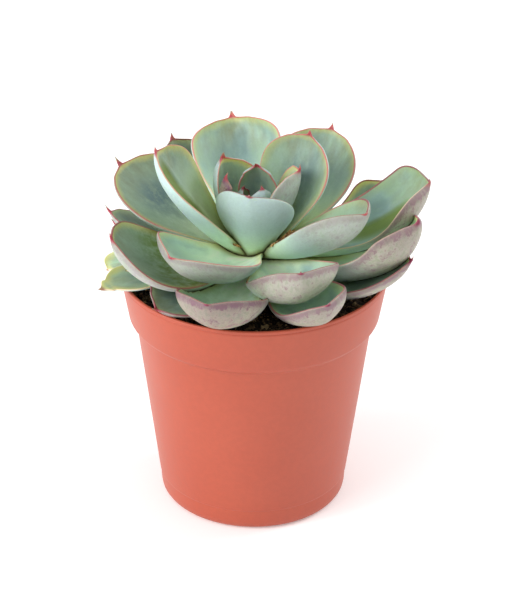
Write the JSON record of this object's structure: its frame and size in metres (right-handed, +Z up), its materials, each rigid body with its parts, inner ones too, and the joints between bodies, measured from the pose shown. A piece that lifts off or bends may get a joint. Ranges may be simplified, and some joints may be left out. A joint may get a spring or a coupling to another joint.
{
  "type": "potted succulent",
  "caption": "Potted rosette succulent: pointed fleshy leaves round a short stem, over soil in a tapered nursery pot with a deep collar.",
  "frame": {"origin": "centre of the flat pad under the pot's floor, on the surface that the pot stands on", "axes": "+Z up along the pot's axis; -Y towards the side that the picture shows"},
  "size_m": [0.126, 0.1234, 0.1526],
  "materials": {
    "pot_plastic": "satin terracotta-coloured polypropylene",
    "soil": "dry peat with grit",
    "stem_bark": "dull green-brown",
    "leaf": "waxy grey-green bloom with a thin red edge",
    "bud_leaf": "waxy dark green bloom with a thin red edge"
  },
  "bodies": {
    "root": {"leaf_01": "leaf", "leaf_02": "leaf", "leaf_03": "leaf", "leaf_04": "leaf", "leaf_05": "leaf", "leaf_06": "leaf", "leaf_07": "leaf", "leaf_08": "leaf", "leaf_09": "leaf", "leaf_10": "leaf", "leaf_11": "leaf", "leaf_12": "leaf", "leaf_13": "leaf", "leaf_14": "leaf", "leaf_15": "leaf", "leaf_16": "leaf", "leaf_17": "leaf", "leaf_18": "leaf", "leaf_19": "leaf", "leaf_20": "leaf", "leaf_21": "leaf", "leaf_22": "leaf", "leaf_23": "leaf", "leaf_24": "leaf", "leaf_25": "leaf", "leaf_27": "leaf", "leaf_28": "leaf", "leaf_29": "leaf", "leaf_30": "leaf", "leaf_32": "leaf", "leaf_33": "leaf", "leaf_35": "leaf", "leaf_36": "leaf", "bud": "bud_leaf", "stem": "stem_bark", "soil": "soil", "pot": "pot_plastic"}
  },
  "joints": []
}
